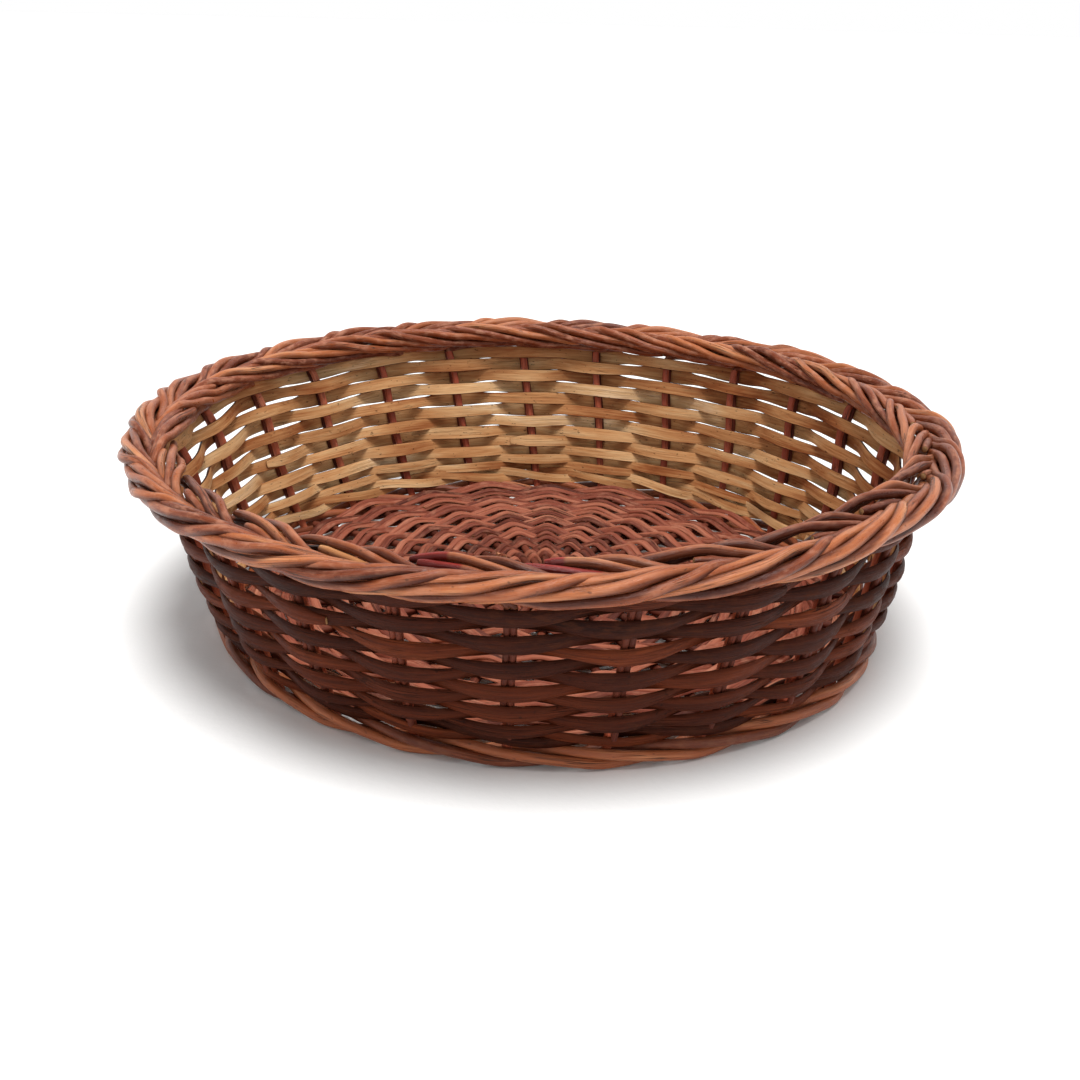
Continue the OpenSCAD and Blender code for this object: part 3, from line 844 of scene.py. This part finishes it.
def border_rod(stake, rod, rng):
    at_back = ease(0.5 + 0.8 * math.sin(math.radians(stake_angle(stake, 0) - 5 * SPACING)))
    tip = TIP_S[rod] + (BACK_TIP_S[rod] - TIP_S[rod]) * at_back + rng.uniform(-0.25, 0.2)
    dyed_s, tip = CRIMSON.get((stake, rod), (9.0, tip))
    s = np.arange(BEGIN_S, tip, 1 / PLAIT_SAMPLES)
    r, a, z = plait_point(stake, s, rod, RIM)
    loose = ease((s - 0.6) / 0.5)
    r = r + loose * (wobble(rng, s, (1.1, 0.63, 2.3), 0.34) + rng.uniform(-0.3, 0.3))
    z = z + loose * (wobble(rng, s, (0.9, 0.57, 1.9), 0.34) + rng.uniform(-0.3, 0.3))
    path = polar(r, a, z)
    if rod < 0:
        line, _ = stake_line(stake, np.array([STAKE_END_L, STAKE_END_L + 2.0]), 0.0, 0.0)
    else:
        aside = BYE_ASIDE if rod == 0 else -BYE_ASIDE
        line, _ = stake_line(stake, np.array([STAKE_END_L, STAKE_END_L + 2.0]), BYE_OUT, aside)
    lead = hermite(line[0], (line[1] - line[0]) * 4.5, path[0], (path[1] - path[0]) * 9, LEAD_SAMPLES)[:-1]
    path = np.concatenate([lead, path])
    s = np.concatenate([np.linspace(0, BEGIN_S, len(lead), endpoint=False), s])
    thick = (STAKE_D if rod < 0 else BYE_D) / 2
    full = rng.uniform(1.96, 2.24)
    half = thick + (full - thick) * ease(s / 0.5)
    half = half * (1 - 0.14 * ease((s - 2.0) / 3.4)) * (1 + wobble(rng, s, (0.7, 1.6), 0.02))
    half = half * (1 - 0.35 * ease((s - (tip - 0.10)) / 0.12))
    side = np.tile(np.array([[0, 0, 1.0]]), (len(s), 1))
    dye = ease((s - dyed_s) / 0.14)
    bark = np.ones(len(s))
    if (stake, rod) == PALE_ROD:
        bark = 1 - ease((s - 3.6) / 0.3)
    angle = np.degrees(np.arctan2(path[:, 1], path[:, 0]))
    aside, back = np.abs(np.cos(np.radians(angle))), np.maximum(np.sin(np.radians(angle)), 0)
    # More pale dust mottle on the rim's sides and back: partly dust, partly a painted highlight where the rim
    # catches the light
    warm = np.clip(0.20 + 0.50 * aside + 0.45 * back + wobble(rng, s, (1.5, 0.8), 0.15), 0, 1)
    # depth adds the painted shade of the plait's grooves and rod flanks
    return Strand(path, side, half, half * rng.uniform(0.90, 0.98), ROD_PROFILE, rng.uniform(),
                  dye=dye, bark=bark, warm=warm, depth=groove_shade)


for index in range(5):
    rng = np.random.default_rng(700 + index)
    rods = [border_rod(stake, rod, rng) for stake in range(index, STAKE_N, 5) for rod in (-1, 0, 1)]
    make_piece(f"border_plait_{index + 1}_look", rods, BORDER_LOOK, f"border_plait_{index + 1}")


# ---------------------------------------------------------------- floor, light and camera
floor_mesh = bpy.data.meshes.new("floor")
FLOOR_R, FLOOR_Z, FLOOR_SIDES = 30.0, -0.0004, 64
around = [2 * math.pi * i / FLOOR_SIDES for i in range(FLOOR_SIDES)]
floor_mesh.from_pydata([(FLOOR_R * math.cos(f), FLOOR_R * math.sin(f), FLOOR_Z) for f in around], [],
                       [list(range(FLOOR_SIDES))])
floor = bpy.data.objects.new("floor", floor_mesh)
bpy.context.scene.collection.objects.link(floor)
g = Graph("pale_floor")
place = g.put("ShaderNodeNewGeometry").outputs["Position"]
floor_colour = g.mix(g.noise(place, 3.0, 4.0), linear(240, 240, 239), linear(243, 243, 242))
floor_mesh.materials.append(g.finish(floor_colour, 0.8, g.noise(place, 300.0, 2.0), 0.0001))

world = bpy.data.worlds.new("studio")
bpy.context.scene.world = world
world.use_nodes = True
tree = world.node_tree
tree.nodes.clear()
direction = tree.nodes.new("ShaderNodeTexCoord")
parts = tree.nodes.new("ShaderNodeSeparateXYZ")
tree.links.new(direction.outputs["Generated"], parts.inputs[0])
sky = tree.nodes.new("ShaderNodeValToRGB")
tree.links.new(parts.outputs["Z"], sky.inputs[0])
SKY = [(0.0, 1.0), (0.05, 1.0), (0.36, 0.93), (0.55, 0.40), (1.0, 0.60)]
while len(sky.color_ramp.elements) < len(SKY):
    sky.color_ramp.elements.new(0.5)
for element, (place_z, grey) in zip(sky.color_ramp.elements, SKY):
    element.position = place_z
    element.color = (grey, grey, grey, 1)
background = tree.nodes.new("ShaderNodeBackground")
tree.links.new(sky.outputs[0], background.inputs[0])
world_out = tree.nodes.new("ShaderNodeOutputWorld")
tree.links.new(background.outputs[0], world_out.inputs[0])


def sun(name, strength, angle, azimuth, elevation):
    light = bpy.data.lights.new(name, "SUN")
    light.energy = strength
    light.angle = math.radians(angle)
    lamp = bpy.data.objects.new(name, light)
    bpy.context.scene.collection.objects.link(lamp)
    a, e = math.radians(azimuth), math.radians(elevation)
    towards = Vector((math.sin(a) * math.cos(e), -math.cos(a) * math.cos(e), math.sin(e)))
    lamp.rotation_mode = "QUATERNION"
    lamp.rotation_quaternion = towards.to_track_quat("Z", "Y")
    return lamp


sun("top_light", strength=3.05, angle=26, azimuth=12, elevation=77)
sun("back_light", strength=0.4, angle=50, azimuth=160, elevation=50)

CAMERA_LENS = 44.2
CAMERA_SENSOR = 36
CAMERA_SHIFT = (-0.0020, -0.0317)
CAMERA_PLACE = Vector((0, -0.5630, 0.2571))
CAMERA_PITCH = math.radians(20.41)
CAMERA_ROLL = math.radians(1.376)
camera_data = bpy.data.cameras.new("camera")
camera_data.lens = CAMERA_LENS
camera_data.sensor_width = CAMERA_SENSOR
camera_data.shift_x, camera_data.shift_y = CAMERA_SHIFT
camera = bpy.data.objects.new("camera", camera_data)
bpy.context.scene.collection.objects.link(camera)
aim = Vector((0, math.cos(CAMERA_PITCH), -math.sin(CAMERA_PITCH)))
camera.rotation_mode = "QUATERNION"
aimed = aim.to_track_quat("-Z", "Y").to_matrix()
camera.rotation_quaternion = (aimed @ Matrix.Rotation(CAMERA_ROLL, 3, "Z")).to_quaternion()
camera.location = CAMERA_PLACE
bpy.context.scene.camera = camera
bpy.context.scene.view_settings.view_transform = "Standard"
